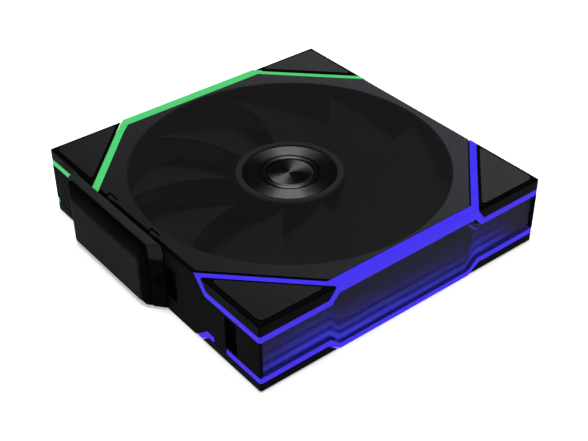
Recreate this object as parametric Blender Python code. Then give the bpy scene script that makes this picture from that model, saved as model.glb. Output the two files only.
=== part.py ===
"""Square illuminated case fan, lying flat with its intake side up.

Row frame: metres, +Z up. The rotor turns about Z. z = 0 is the rear (mounting) plane.
The two lit sides face -Y and +Y, the two coupling sides face -X and +X, and the plug-on
connector module hangs on the -X side. Shapes are worked out in millimetres and every
finished mesh is scaled to metres at the end.
"""

import math

import bmesh
import bpy
from mathutils import Matrix, Vector

# ---------------------------------------------------------------- driving dimensions (mm)
MM = 0.001
HALF_X = 61.0            # half width across the coupling sides
HALF_Y = 62.0            # half length across the lit sides
HEIGHT = 27.0            # overall thickness, pad face to pad face
PLATE_TOP = 26.8         # front plate of the frame
PLATE_BOTTOM = 0.2       # rear plate of the frame
GAP = 0.3                # clearance kept between neighbouring pieces

DUCT_R = 57.0            # air duct
BLADE_TIP_R = 55.8
HUB_R = 19.4
BLADE_COUNT = 9
SCREW_PITCH = 105.0      # standard 120 mm fan hole pitch
SCREW_R = 2.2

# upper light line: |x| + |y| measures how far out towards a corner a point is
UP_BAR_Z = 23.7          # underside of the long upper light bar
UP_LINE_LO, UP_LINE_HI = 20.2, 22.6
UP_CAP_D, UP_CAP_K = 92.7, 0.75      # corner cap: |x|+|y| >= D + (27 - z) * K
UP_GUIDE_D, UP_GUIDE_K = 89.0, 0.90  # light guide: |x|+|y| >= D + (26.8 - z) * K
# lower light line
LO_BAR_Z = 2.0
LO_LINE_LO, LO_LINE_HI = 3.4, 5.6
LO_CAP_D, LO_CAP_K = 91.3, 1.30      # |x|+|y| >= D + z * K
LO_GUIDE_D, LO_GUIDE_K = 90.8, 1.10  # |x|+|y| >= D + (z - 2) * K
PAD_D = 94.5             # inner edge of the corner pads, as |x| + |y|
PAD_MARGIN = 1.7         # rim left between a pad and the sides
BEVEL_OUT, BEVEL_DOWN = 0.5, 0.4     # broken edge round the corner caps
BAR_INNER_Y = 58.4       # inner edge of the long light bars
RECESS_Y = 59.6          # floor of the side recess behind the mirror window
DIAG_TOP = 26.3          # the diagonal lines sit a little below the front plate
DIAG_BOTTOM = 0.7

BAY_Y = (14.5, 47.2)     # coupling pockets in the -X and +X sides
RAIL_Y = (-4.0, 22.0)    # dovetail grooves that carry the connector module
ARM_END = 61.6           # motor bracket arms, towards the corners
ARM_SCREW_R = 59.4

SEG = 96                 # facets of the air duct


# ---------------------------------------------------------------- scene reset
for old in list(bpy.data.objects):
    bpy.data.objects.remove(old, do_unlink=True)


# ---------------------------------------------------------------- materials
def material(name, colour, rough, metal=0.0, alpha=1.0, glow=None):
    m = bpy.data.materials.new(name)
    m.use_nodes = True
    b = m.node_tree.nodes["Principled BSDF"]
    b.inputs["Base Color"].default_value = (*colour, 1.0)
    b.inputs["Roughness"].default_value = rough
    b.inputs["Metallic"].default_value = metal
    b.inputs["Alpha"].default_value = alpha
    if glow:
        b.inputs["Emission Color"].default_value = (*colour, 1.0)
        b.inputs["Emission Strength"].default_value = glow
    return m


M_FRAME = material("black_moulded_plastic", (0.014, 0.014, 0.015), 0.42)
M_BLADE = material("matt_black_blade", (0.012, 0.012, 0.012), 0.62)
M_CAP = material("black_cap_plastic", (0.010, 0.010, 0.011), 0.30)
M_PAD = material("black_rubber_pad", (0.020, 0.022, 0.024), 0.60)
M_BLUE = material("blue_light_guide", (0.055, 0.030, 0.90), 0.35, glow=2.0)
M_GREEN = material("green_light_guide", (0.07, 0.76, 0.16), 0.35, glow=2.0)
M_WINDOW = material("smoked_mirror_window", (0.02, 0.02, 0.03), 0.05, alpha=0.5)
M_MIRROR = material("mirror_film", (0.35, 0.35, 0.38), 0.06, metal=1.0)
M_BOARD = material("black_circuit_board", (0.02, 0.035, 0.025), 0.45)
M_LED = material("led_package", (0.85, 0.85, 0.80), 0.35)
M_STEEL = material("steel", (0.50, 0.50, 0.51), 0.30, metal=1.0)
M_BRASS = material("brass_bearing", (0.62, 0.45, 0.20), 0.32, metal=1.0)
M_COPPER = material("copper_winding", (0.70, 0.30, 0.14), 0.35, metal=1.0)
M_MAGNET = material("ferrite_magnet", (0.05, 0.05, 0.055), 0.55)
M_GOLD = material("gold_contact", (0.85, 0.62, 0.25), 0.22, metal=1.0)
M_SPUN = material("spun_metal_disc", (0.10, 0.10, 0.105), 0.22, metal=1.0)
M_NYLON = material("nylon_insulator", (0.62, 0.60, 0.52), 0.55)
M_LABEL = material("plain_label", (0.05, 0.05, 0.05), 0.50)
M_MODULE = material("module_shell", (0.016, 0.016, 0.018), 0.45)
M_RIBBON = material("ribbon_cable", (0.03, 0.03, 0.03), 0.55)


# ---------------------------------------------------------------- mesh helpers
def new_object(name, bm, mat=None):
    bmesh.ops.recalc_face_normals(bm, faces=bm.faces[:])
    me = bpy.data.meshes.new(name)
    bm.to_mesh(me)
    bm.free()
    ob = bpy.data.objects.new(name, me)
    bpy.context.scene.collection.objects.link(ob)
    if mat:
        me.materials.append(mat)
    return ob


def prism_bm(pts, lo, hi, axis="z"):
    """Extrude a simple polygon. axis z: pts are (x, y); axis y: (x, z); axis x: (y, z)."""
    bm = bmesh.new()

    def put(p, h):
        if axis == "z":
            return (p[0], p[1], h)
        if axis == "y":
            return (p[0], h, p[1])
        return (h, p[0], p[1])

    low = [bm.verts.new(put(p, lo)) for p in pts]
    high = [bm.verts.new(put(p, hi)) for p in pts]
    bm.faces.new(low)
    bm.faces.new(high)
    n = len(pts)
    for i in range(n):
        j = (i + 1) % n
        bm.faces.new((low[i], low[j], high[j], high[i]))
    return bm


def prism(name, pts, lo, hi, axis="z", mat=None):
    return new_object(name, prism_bm(pts, lo, hi, axis), mat)


def box(name, x0, x1, y0, y1, z0, z1, mat=None):
    return prism(name, [(x0, y0), (x1, y0), (x1, y1), (x0, y1)], z0, z1, "z", mat)


def circle(r, n, cx=0.0, cy=0.0, phase=0.0):
    return [
        (cx + r * math.cos(phase + 2 * math.pi * i / n), cy + r * math.sin(phase + 2 * math.pi * i / n))
        for i in range(n)
    ]


def cylinder(name, r, z0, z1, n=32, cx=0.0, cy=0.0, mat=None, axis="z"):
    return prism(name, circle(r, n, cx, cy), z0, z1, axis, mat)


def turned(name, profile, n=48, mat=None, cx=0.0, cy=0.0):
    """Revolve a closed (r, z) profile about a vertical axis; points on r = 0 become single vertices."""
    bm = bmesh.new()
    rings = []
    for r, z in profile:
        if r < 1e-6:
            rings.append([bm.verts.new((cx, cy, z))])
        else:
            rings.append([bm.verts.new((x, y, z)) for x, y in circle(r, n, cx, cy)])
    count = len(rings)
    for i in range(count):
        a, b = rings[i], rings[(i + 1) % count]
        if len(a) == 1 and len(b) == 1:
            continue
        for k in range(n):
            j = (k + 1) % n
            if len(a) == 1:
                bm.faces.new((a[0], b[k], b[j]))
            elif len(b) == 1:
                bm.faces.new((a[k], b[0], a[j]))
            else:
                bm.faces.new((a[k], b[k], b[j], a[j]))
    return new_object(name, bm, mat)


def half_spaces(name, lo, hi, planes, mat=None):
    """A convex solid: a box cut by planes, each (normal, offset), keeping normal . p <= offset."""
    bm = prism_bm([(lo[0], lo[1]), (hi[0], lo[1]), (hi[0], hi[1]), (lo[0], hi[1])], lo[2], hi[2])
    for normal, offset in planes:
        nv = Vector(normal)
        co = nv * (offset / nv.length_squared)
        bmesh.ops.bisect_plane(
            bm, geom=bm.verts[:] + bm.edges[:] + bm.faces[:], dist=1e-5, plane_co=co, plane_no=nv, clear_outer=True
        )
        rim = [e for e in bm.edges if e.is_boundary]
        if rim:
            bmesh.ops.contextual_create(bm, geom=rim)
    return new_object(name, bm, mat)


def evaluated(ob):
    dg = bpy.context.evaluated_depsgraph_get()
    dg.update()
    me = bpy.data.meshes.new_from_object(ob.evaluated_get(dg))
    ob.modifiers.clear()
    ob.data = me
    return ob


def combine(ob, other, operation="DIFFERENCE", keep=False):
    mod = ob.modifiers.new("bool", "BOOLEAN")
    mod.operation = operation
    mod.solver = "EXACT"
    mod.object = other
    evaluated(ob)
    if not keep:
        bpy.data.objects.remove(other, do_unlink=True)
    return ob


def cut(ob, *others):
    for o in others:
        combine(ob, o, "DIFFERENCE")
    return ob


def join(ob, *others):
    for o in others:
        combine(ob, o, "UNION")
    return ob


def bundle(name, obs, mat):
    """Several separate solids that share one node."""
    bm = bmesh.new()
    for o in obs:
        bm.from_mesh(o.data)
        bpy.data.objects.remove(o, do_unlink=True)
    return new_object(name, bm, mat)


def tidy(ob, angle=35):
    """Drop slivers left by cuts and set smooth shading with sharp edges."""
    bm = bmesh.new()
    bm.from_mesh(ob.data)
    bmesh.ops.remove_doubles(bm, verts=bm.verts[:], dist=1e-4)
    bmesh.ops.dissolve_limit(
        bm, angle_limit=math.radians(0.2), use_dissolve_boundaries=False, verts=bm.verts[:], edges=bm.edges[:]
    )
    bm.to_mesh(ob.data)
    bm.free()
    ob.data.shade_smooth()
    ob.data.set_sharp_from_angle(angle=math.radians(angle))
    return ob


def bevelled(ob, width, segments=1, angle=30):
    mod = ob.modifiers.new("bevel", "BEVEL")
    mod.width = width
    mod.segments = segments
    mod.limit_method = "ANGLE"
    mod.angle_limit = math.radians(angle)
    return evaluated(ob)


def rounded(pts, radii, steps=4):
    """Round every corner of a convex polygon; radii is one radius or one per corner."""
    out = []
    n = len(pts)
    for i in range(n):
        r = radii[i] if isinstance(radii, (list, tuple)) else radii
        p, a, b = Vector(pts[i]), Vector(pts[i - 1]), Vector(pts[(i + 1) % n])
        u, v = (a - p).normalized(), (b - p).normalized()
        half = math.acos(max(-1, min(1, u.dot(v)))) / 2
        t = r / math.tan(half)
        mid = (u + v).normalized()
        c = p + mid * (r / math.sin(half))
        s, e = p + u * t - c, p + v * t - c
        total = s.angle_signed(e) * -1
        for k in range(steps + 1):
            w = total * k / steps
            out.append((c.x + s.x * math.cos(w) - s.y * math.sin(w), c.y + s.x * math.sin(w) + s.y * math.cos(w)))
    return out


CORNERS = {"front_left": (-1, -1), "front_right": (1, -1), "back_right": (1, 1), "back_left": (-1, 1)}


# ---------------------------------------------------------------- corner volumes
def corner_box(sx, sy, z0, z1, inner=26.0, out=0.0):
    xs = sorted((sx * inner, sx * (HALF_X + out)))
    ys = sorted((sy * inner, sy * (HALF_Y + out)))
    return (xs[0], ys[0], z0), (xs[1], ys[1], z1)


def upper_cap_volume(name, sx, sy, grow=0.0, out=0.0, chamfer=True):
    """Volume of a front corner cap. grow widens it inwards and downwards."""
    lo, hi = corner_box(sx, sy, UP_LINE_HI - grow, PLATE_TOP - 0.1 + (2.0 if grow else 0.0), out=out)
    planes = [((-sx, -sy, -UP_CAP_K), -(UP_CAP_D + 27.0 * UP_CAP_K) + grow * 1.6)]
    if chamfer:
        zc = PLATE_TOP - 0.1 - BEVEL_DOWN
        k = BEVEL_DOWN / BEVEL_OUT
        planes += [((0, sy * k, 1.0), HALF_Y * k + zc), ((sx * k, 0, 1.0), HALF_X * k + zc)]
        planes += [((sx, sy, 0), HALF_X + HALF_Y - 0.6)]
    return half_spaces(name, lo, hi, planes)


def lower_cap_volume(name, sx, sy, grow=0.0, out=0.0, chamfer=True):
    lo, hi = corner_box(sx, sy, PLATE_BOTTOM + 0.1 - (2.0 if grow else 0.0), LO_LINE_LO + grow, out=out)
    planes = [((-sx, -sy, LO_CAP_K), -LO_CAP_D + grow * 1.8)]
    if chamfer:
        zc = PLATE_BOTTOM + 0.1 + BEVEL_DOWN * 0.6
        k = 0.6 * BEVEL_DOWN / BEVEL_OUT
        planes += [((0, sy * k, -1.0), HALF_Y * k - zc), ((sx * k, 0, -1.0), HALF_X * k - zc)]
        planes += [((sx, sy, 0), HALF_X + HALF_Y - 0.6)]
    return half_spaces(name, lo, hi, planes)


def pad_outline(sx, sy, grow=0.0):
    d = PAD_D - grow * 1.5
    x, y = HALF_X - PAD_MARGIN + grow, HALF_Y - PAD_MARGIN + grow
    pts = rounded([(x, d - x), (d - y, y), (x, y)], [0.7 + grow * 0.5, 0.7 + grow * 0.5, 2.2 + grow * 0.5], 3)
    return [(sx * a, sy * b) for a, b in pts]


# ---------------------------------------------------------------- front and rear corner caps with rubber pads
for key, (sx, sy) in CORNERS.items():
    hx, hy = sx * SCREW_PITCH / 2, sy * SCREW_PITCH / 2
    cap = upper_cap_volume("front_cap_" + key, sx, sy)
    join(cap, cylinder("boss", 3.5, 18.3, UP_LINE_HI + 0.6, 20, hx, hy))
    cut(
        cap,
        prism("pocket", pad_outline(sx, sy, 0.25), 25.4, 28.0),
        cylinder("hole", SCREW_R, 17.0, 28.0, 20, hx, hy),
    )
    cap.data.materials.append(M_CAP)
    tidy(cap)
    pad = prism("front_pad_" + key, pad_outline(sx, sy), 25.7, HEIGHT, "z", M_PAD)
    tidy(pad, 50)

    cap = lower_cap_volume("rear_cap_" + key, sx, sy)
    join(cap, cylinder("boss", 3.5, LO_LINE_LO - 0.6, 7.6, 20, hx, hy))
    cut(
        cap,
        prism("pocket", pad_outline(sx, sy, 0.25), -1.0, 1.4),
        cylinder("hole", SCREW_R, -1.0, 9.0, 20, hx, hy),
    )
    cap.data.materials.append(M_CAP)
    tidy(cap)
    pad = prism("rear_pad_" + key, pad_outline(sx, sy), 0.0, 1.1, "z", M_PAD)
    cut(pad, cylinder("hole", SCREW_R + 1.2, -1.0, 2.0, 20, hx, hy))
    tidy(pad, 50)


# ---------------------------------------------------------------- light guides
def upper_guide(name, sy, grow=0.0, mat=None):
    """Long bar along a lit side plus a tray under each front corner cap and the diagonal lines."""
    g = grow
    y0, y1 = sorted((sy * (BAR_INNER_Y - g), sy * (HALF_Y + (1.0 if g else 0.0))))
    x = 33.0
    bar_planes = []
    for sx in (-1, 1):
        bar_planes.append(((sx, sy, UP_CAP_K), UP_CAP_D + 27.0 * UP_CAP_K - 0.5 + g * 1.6))
    body = half_spaces(name, (-x, y0, UP_BAR_Z - g), (x, y1, PLATE_TOP + (1.5 if g else 0.1)), bar_planes)
    for sx in (-1, 1):
        lo, hi = corner_box(sx, sy, UP_LINE_LO - g, DIAG_TOP + (2.0 if g else 0.0), 24.0, out=1.0 if g else 0.0)
        planes = [((-sx, -sy, -UP_GUIDE_K), -(UP_GUIDE_D + 26.8 * UP_GUIDE_K) + g * 1.6)]
        if not g:
            planes.append(((sx, sy, 0), HALF_X + HALF_Y - 0.6))
        tray = half_spaces("tray", lo, hi, planes)
        if not g:
            cut(
                tray,
                upper_cap_volume("c", sx, sy, grow=0.25, out=1.0, chamfer=False),
                cylinder("h", 3.9, 15.0, 24.0, 20, sx * SCREW_PITCH / 2, sy * SCREW_PITCH / 2),
            )
        join(body, tray)
    if mat:
        body.data.materials.append(mat)
    return body


def lower_guide(name, sy, grow=0.0, mat=None):
    g = grow
    y0, y1 = sorted((sy * (BAR_INNER_Y - g), sy * (HALF_Y + (1.0 if g else 0.0))))
    x = 34.0
    bar_planes = [((sx, sy, -LO_CAP_K), LO_CAP_D - 0.5 + g * 1.8) for sx in (-1, 1)]
    body = half_spaces(name, (-x, y0, PLATE_BOTTOM - (1.5 if g else 0.1)), (x, y1, LO_BAR_Z + g), bar_planes)
    for sx in (-1, 1):
        lo, hi = corner_box(sx, sy, DIAG_BOTTOM - (2.0 if g else 0.0), LO_LINE_HI + g, 24.0, out=1.0 if g else 0.0)
        planes = [((-sx, -sy, LO_GUIDE_K), -(LO_GUIDE_D - 2.0 * LO_GUIDE_K) + g * 1.8)]
        if not g:
            planes.append(((sx, sy, 0), HALF_X + HALF_Y - 0.6))
        tray = half_spaces("tray", lo, hi, planes)
        if not g:
            cut(
                tray,
                lower_cap_volume("c", sx, sy, grow=0.25, out=1.0, chamfer=False),
                cylinder("h", 3.9, 2.0, 9.0, 20, sx * SCREW_PITCH / 2, sy * SCREW_PITCH / 2),
            )
        # a bridge of the frame interrupts the lower line on the coupling side;
        # beside the connector module it runs on to the corner
        b = 0.0 if g else GAP
        bridge_end = 60.2 if (sx < 0 and sy > 0) else 44.3
        xs = sorted((sx * (HALF_X - 2.5 - b), sx * (HALF_X + 3)))
        ys = sorted((sy * (38.0 - b), sy * (bridge_end + b)))
        cut(tray, box("bridge", xs[0], xs[1], ys[0], ys[1], LO_LINE_LO + GAP - 2 * b, 8.0))
        join(body, tray)
    if mat:
        body.data.materials.append(mat)
    return body


for tag, sy, mat in (("blue", -1, M_BLUE), ("green", 1, M_GREEN)):
    tidy(upper_guide("upper_light_guide_" + tag, sy, mat=mat))
    tidy(lower_guide("lower_light_guide_" + tag, sy, mat=mat))


# ---------------------------------------------------------------- mirror windows, mirror panels and LED strips
def window_outline(inset=0.0):
    """(x, z) outline of the lit side between the upper and the lower light line."""
    i = inset
    up = [(29.8 - i, 23.4 - i), (32.94 - i * 0.6, 19.9 - i), (59.6 - i, 19.9 - i)]
    dn = [(59.6 - i, 5.9 + i), (32.76 - i * 0.6, 5.9 + i), (28.8 - i, 2.3 + i)]
    right = up + dn
    return right + [(-a, b) for a, b in right[::-1]]


for tag, sy in (("blue", -1), ("green", 1)):

    def span(a, b, sy=sy):
        return sorted((sy * a, sy * b))

    w = prism("mirror_window_" + tag, window_outline(), *span(60.95, 61.85), "y", M_WINDOW)
    tidy(w)
    m = prism("mirror_panel_" + tag, window_outline(0.5), *span(59.9, 60.65), "y", M_MIRROR)
    tidy(m)
    for sx in (-1, 1):
        xs = sorted((sx * 35.0, sx * 57.0))
        side = {(-1, -1): "front_left", (1, -1): "front_right", (-1, 1): "back_left", (1, 1): "back_right"}[(sx, sy)]
        strip = box("led_strip_" + side, xs[0], xs[1], *span(57.2, 58.0), 8.6, 17.4)
        for k in range(4):
            cx = sx * (38.0 + 5.4 * k)
            join(strip, box("l", cx - 1.2, cx + 1.2, *span(57.9, 59.2), 11.8, 14.2))
        strip.data.materials.append(M_LED)
        tidy(strip)


# ---------------------------------------------------------------- duct frame
frame_box = prism_bm(
    [
        (-HALF_X, -HALF_Y + 0.4), (-HALF_X + 0.4, -HALF_Y), (HALF_X - 0.4, -HALF_Y), (HALF_X, -HALF_Y + 0.4),
        (HALF_X, HALF_Y - 0.4), (HALF_X - 0.4, HALF_Y), (-HALF_X + 0.4, HALF_Y), (-HALF_X, HALF_Y - 0.4),
    ],
    PLATE_BOTTOM, PLATE_TOP,
)
frame = new_object("duct_frame", frame_box)
duct = turned(
    "duct",
    [(0, -2), (DUCT_R + 3.0, -2), (DUCT_R + 1.0, PLATE_BOTTOM), (DUCT_R, 1.6), (DUCT_R, 26.2), (DUCT_R + 0.12, 26.5),
     (DUCT_R + 0.45, PLATE_TOP), (DUCT_R + 2.0, 29.0), (0, 29.0)],
    SEG,
)
cut(frame, duct)
for sy in (-1, 1):
    cut(frame, upper_guide("g", sy, grow=GAP), lower_guide("g", sy, grow=GAP))
    ys = sorted((sy * RECESS_Y, sy * (HALF_Y + 1)))
    rec = prism("r", window_outline(-0.3), ys[0], ys[1], "y")
    cut(frame, rec)
    for sx in (-1, 1):
        xs = sorted((sx * 34.6, sx * 57.4))
        ys = sorted((sy * 56.8, sy * (RECESS_Y + 0.5)))
        cut(frame, box("p", xs[0], xs[1], ys[0], ys[1], 8.2, 17.8))
for sx, sy in CORNERS.values():
    hx, hy = sx * SCREW_PITCH / 2, sy * SCREW_PITCH / 2
    cut(
        frame,
        turned("hole", [(0, 4.0), (3.9, 4.0), (3.9, 8.0), (SCREW_R, 8.0), (SCREW_R, 17.9), (3.9, 17.9), (3.9, 21.5), (0, 21.5)], 20, None, hx, hy),
    )

# broken top edge along both coupling sides
for sx in (-1, 1):
    edge = [(sx * (HALF_X + 0.3), PLATE_TOP - 1.6), (sx * (HALF_X - 1.2), PLATE_TOP + 0.4), (sx * (HALF_X + 0.3), PLATE_TOP + 0.4)]
    cut(frame, prism("edge", edge, -HALF_Y - 1.0, HALF_Y + 1.0, "y"))

# coupling pockets: an undercut slot that a neighbouring fan's hook slides into
for sx in (-1, 1):
    for y in [s * v for v in BAY_Y for s in (-1, 1)]:
        if sx < 0 and y == BAY_Y[0]:
            continue                 # taken by the contact board

        def at(a):
            return sx * (HALF_X - a)

        pts = [(at(-0.5), y - 3.1), (at(-0.5), y + 3.1), (at(1.1), y + 3.1), (at(1.1), y + 4.0), (at(2.5), y + 4.0),
               (at(2.5), y - 4.0), (at(1.1), y - 4.0), (at(1.1), y - 3.1)]
        cut(frame, prism("bay", pts, 6.6, 19.2))

# dovetail grooves for the connector module, open at the front
for y in RAIL_Y:
    pts = [(-HALF_X - 0.5, y - 1.6), (-HALF_X - 0.5, y + 1.6), (-HALF_X + 2.4, y + 2.9), (-HALF_X + 2.4, y - 2.9)]
    cut(frame, prism("groove", pts, 3.9, 28.0))

# contact board recesses on both coupling sides
cut(frame, box("rec", -HALF_X - 1, -HALF_X + 1.9, -0.2, 11.2, 8.6, 17.4))
cut(frame, box("rec", HALF_X - 1.9, HALF_X + 1, -5.7, 5.7, 8.6, 17.4))
# wire slot from the duct to the left contact board
cut(frame, box("slot", -HALF_X + 1.5, -DUCT_R + 2.0, -0.2, 2.3, 2.0, 10.0))
cut(frame, box("seat", -58.9, -54.0, -1.5, 3.6, -1.0, 2.9))
# seats for the four arms of the motor bracket
for k in range(4):
    a = k * math.pi / 2 + math.pi / 4
    seat = box("seat", 54.0, ARM_END + GAP, -3.2, 3.2, -1.0, 4.2)
    seat.data.transform(Matrix.Rotation(a, 4, "Z"))
    cut(frame, seat)
    cut(frame, cylinder("pilot", 1.2, 4.0, 8.6, 12, ARM_SCREW_R * math.cos(a), ARM_SCREW_R * math.sin(a)))
frame.data.materials.append(M_FRAME)
tidy(frame)

# ---------------------------------------------------------------- motor bracket (rear spider)
bracket = turned(
    "motor_bracket",
    [(4.85, 0.9), (16.9, 0.9), (17.4, PLATE_BOTTOM), (19.8, PLATE_BOTTOM), (20.4, 0.8), (20.4, 5.2), (19.4, 5.2),
     (19.4, 2.6), (6.1, 2.6), (6.1, 3.3), (4.85, 3.3)],
    40,
)
for k in range(4):
    # tapered arm, swept slightly in plan like a stator vane
    n, top, bot = 6, [], []
    for i in range(n + 1):
        t = i / n
        x = 19.0 + (ARM_END - 19.0) * t
        y = 2.2 * math.sin(math.pi * min(1.0, t * 1.14))
        w = 3.3 - 0.7 * math.sin(math.pi * t) - 0.5 * t
        top.append((x, y + w))
        bot.append((x, y - w))
    arm = prism("arm", top + bot[::-1], PLATE_BOTTOM, 3.9)
    bevelled(arm, 0.5)
    arm.data.transform(Matrix.Rotation(k * math.pi / 2 + math.pi / 4, 4, "Z"))
    join(bracket, arm)
for k in range(4):
    a = k * math.pi / 2 + math.pi / 4
    hole = [(0, -1), (2.0, -1), (2.0, 1.7), (1.2, 1.7), (1.2, 5), (0, 5)]
    cut(bracket, turned("h", hole, 12, None, ARM_SCREW_R * math.cos(a), ARM_SCREW_R * math.sin(a)))
# low arm that carries the flat motor ribbon, and its notch in the cup rim
join(bracket, box("wire_arm", -58.6, -19.0, -1.2, 3.3, PLATE_BOTTOM, 2.6))
cut(bracket, box("notch", -21.0, -18.6, -0.3, 2.4, 2.6, 6.0))
cut(bracket, turned("core", [(0, -1), (4.85, -1), (4.85, 6), (0, 6)], 40))
bracket.data.materials.append(M_FRAME)
tidy(bracket)

for k in range(4):
    a = k * math.pi / 2 + math.pi / 4
    cx, cy = ARM_SCREW_R * math.cos(a), ARM_SCREW_R * math.sin(a)
    screw = turned(
        "bracket_screw_%d" % (k + 1), [(0, 0.3), (1.6, 0.3), (1.7, 0.5), (1.7, 1.4), (0.9, 1.4), (0.9, 7.6), (0, 8.2)],
        12, M_STEEL, cx, cy,
    )
    cut(screw, box("slot", cx - 1.1, cx + 1.1, cy - 0.22, cy + 0.22, 0.0, 0.8), box("slot", cx - 0.22, cx + 0.22, cy - 1.1, cy + 1.1, 0.0, 0.8))
    tidy(screw)

# ---------------------------------------------------------------- motor: fixed parts
tidy(turned("motor_rear_cover", [(0, 0.0), (16.2, 0.0), (16.5, 0.3), (16.5, 0.6), (0, 0.6)], 40, M_LABEL))
tidy(turned("bearing_tube", [(0, 0.9), (4.55, 0.9), (4.55, 15.6), (3.5, 15.6), (3.5, 1.7), (0, 1.7)], 20, M_BRASS))
tidy(turned("thrust_washer", [(0, 2.0), (3.0, 2.0), (3.0, 2.5), (0, 2.5)], 24, M_NYLON))
tidy(turned("bearing_sleeve", [(1.8, 4.4), (3.2, 4.4), (3.2, 15.0), (1.8, 15.0)], 20, M_BRASS))

board = turned("motor_board", [(6.4, 3.6), (17.8, 3.6), (17.8, 4.6), (6.4, 4.6)], 32)
join(board, box("chip", 11.6, 14.4, -2.0, 2.0, 4.4, 5.2), box("chip", -3.0, 3.0, 11.4, 13.6, 4.4, 5.0))
board.data.materials.append(M_BOARD)
tidy(board)

core = turned("stator_core", [(4.9, 7.0), (7.2, 7.0), (7.2, 15.0), (4.9, 15.0)], 28)
for k in range(4):
    a = k * math.pi / 2 + math.pi / 4
    tooth = box("t", 6.6, 12.2, -1.9, 1.9, 7.0, 15.0)
    arc = [(13.9 * math.cos(t), 13.9 * math.sin(t)) for t in [math.radians(-38 + 12.6667 * i) for i in range(7)]]
    arc += [(11.7 * math.cos(t), 11.7 * math.sin(t)) for t in [math.radians(34 - 13.6 * i) for i in range(6)]]
    shoe = prism("s", arc, 7.0, 15.0)
    for o in (tooth, shoe):
        o.data.transform(Matrix.Rotation(a, 4, "Z"))
    join(core, tooth, shoe)
core.data.materials.append(M_STEEL)
tidy(core)

coils = []
for k in range(4):
    a = k * math.pi / 2 + math.pi / 4
    coil = box("coil", 8.1, 10.9, -3.9, 3.9, 5.3, 16.7)
    bevelled(coil, 0.9)
    cut(coil, box("c", 6.0, 13.0, -2.2, 2.2, 6.7, 15.3))
    coil.data.transform(Matrix.Rotation(a, 4, "Z"))
    coils.append(coil)
# the link wire between the coils runs round above the core
windings = turned("stator_windings", [(8.3, 15.7), (9.1, 15.7), (9.1, 16.4), (8.3, 16.4)], 28)
join(windings, *coils)
windings.data.materials.append(M_COPPER)
tidy(windings)
tidy(turned("stator_insulator", [(4.9, 15.3), (7.2, 15.3), (7.2, 16.6), (6.4, 16.9), (4.9, 16.9)], 20, M_NYLON))

# ---------------------------------------------------------------- rotor
rotor = []
hub = turned(
    "impeller",
    [(17.6, 5.6), (HUB_R, 5.6), (HUB_R, 23.0), (19.2, 23.6), (18.7, 23.9), (17.4, 23.9), (17.05, 23.6), (17.05, 22.0),
     (0, 22.0), (0, 21.7), (1.8, 21.7), (1.8, 20.7), (17.6, 20.7)],
    54,
)


def blade(k):
    """One wide forward-swept blade; the leading edge is at the intake side."""
    nr, ns = 7, 9
    r0, r1 = HUB_R - 0.6, BLADE_TIP_R
    grids = []
    for side in (1, -1):
        grid = []
        for i in range(nr + 1):
            t = i / nr
            r = r0 + (r1 - r0) * t
            span = math.radians(50.0 + 4.0 * t)
            sweep = math.radians(9.0) * t * t
            z_low = 7.0 - 1.0 * t
            z_high = 20.4 + 2.0 * math.sin(min(1.0, t * 1.25) * math.pi / 2)
            row = []
            for j in range(ns + 1):
                s = j / ns
                phi = sweep + span * (s - 0.5)
                camber = 0.10 * math.sin(math.pi * s)
                z = z_low + (z_high - z_low) * (s - camber)
                thick = (1.9 - 0.9 * t) * (0.35 + 0.65 * math.sin(math.pi * min(1, max(0, 0.08 + 0.84 * s))) ** 0.7)
                row.append((r * math.cos(phi), r * math.sin(phi), z + side * thick / 2))
            grid.append(row)
        grids.append(grid)
    bm = bmesh.new()
    v = [[[bm.verts.new(p) for p in row] for row in grid] for grid in grids]
    for i in range(nr):
        for j in range(ns):
            bm.faces.new((v[0][i][j], v[0][i + 1][j], v[0][i + 1][j + 1], v[0][i][j + 1]))
            bm.faces.new((v[1][i][j], v[1][i][j + 1], v[1][i + 1][j + 1], v[1][i + 1][j]))
        for j in (0, ns):
            bm.faces.new((v[0][i][j], v[1][i][j], v[1][i + 1][j], v[0][i + 1][j]))
    for j in range(ns):
        for i in (0, nr):
            bm.faces.new((v[0][i][j], v[0][i][j + 1], v[1][i][j + 1], v[1][i][j]))
    ob = new_object("blade", bm)
    ob.data.transform(Matrix.Rotation(2 * math.pi * k / BLADE_COUNT, 4, "Z"))
    return ob


blades = bundle("blades", [blade(k) for k in range(BLADE_COUNT)], None)
join(hub, blades)
hub.data.materials.append(M_BLADE)
tidy(hub)
rotor.append(hub)

profile = [(0, 22.3), (16.75, 22.3), (16.75, 23.0), (16.45, 23.25)]
profile += [(10.9, 23.25), (10.5, 22.95), (10.1, 23.3), (8.6, 23.3), (8.35, 23.1), (0, 23.1)]
cap = turned("hub_cap", profile, 54, M_SPUN)
rotor.append(tidy(cap))
rotor.append(tidy(turned("rotor_yoke", [(1.8, 19.6), (16.7, 19.6), (16.7, 5.7), (17.3, 5.7), (17.3, 20.4), (1.8, 20.4)], 36, M_STEEL)))
rotor.append(tidy(turned("magnet_ring", [(14.5, 6.2), (16.4, 6.2), (16.4, 17.4), (14.5, 17.4)], 36, M_MAGNET)))
rotor.append(tidy(turned("rotor_bushing", [(1.8, 17.2), (3.2, 17.2), (3.2, 19.3), (1.8, 19.3)], 24, M_BRASS)))
rotor.append(tidy(turned("shaft", [(0, 2.8), (1.3, 2.8), (1.5, 3.0), (1.5, 3.3), (0.9, 3.3), (0.9, 4.1), (1.5, 4.1), (1.5, 21.4), (0, 21.4)], 16, M_STEEL)))
rotor.append(tidy(turned("retaining_clip", [(1.2, 3.5), (2.9, 3.5), (2.9, 3.9), (1.2, 3.9)], 16, M_STEEL)))

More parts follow.
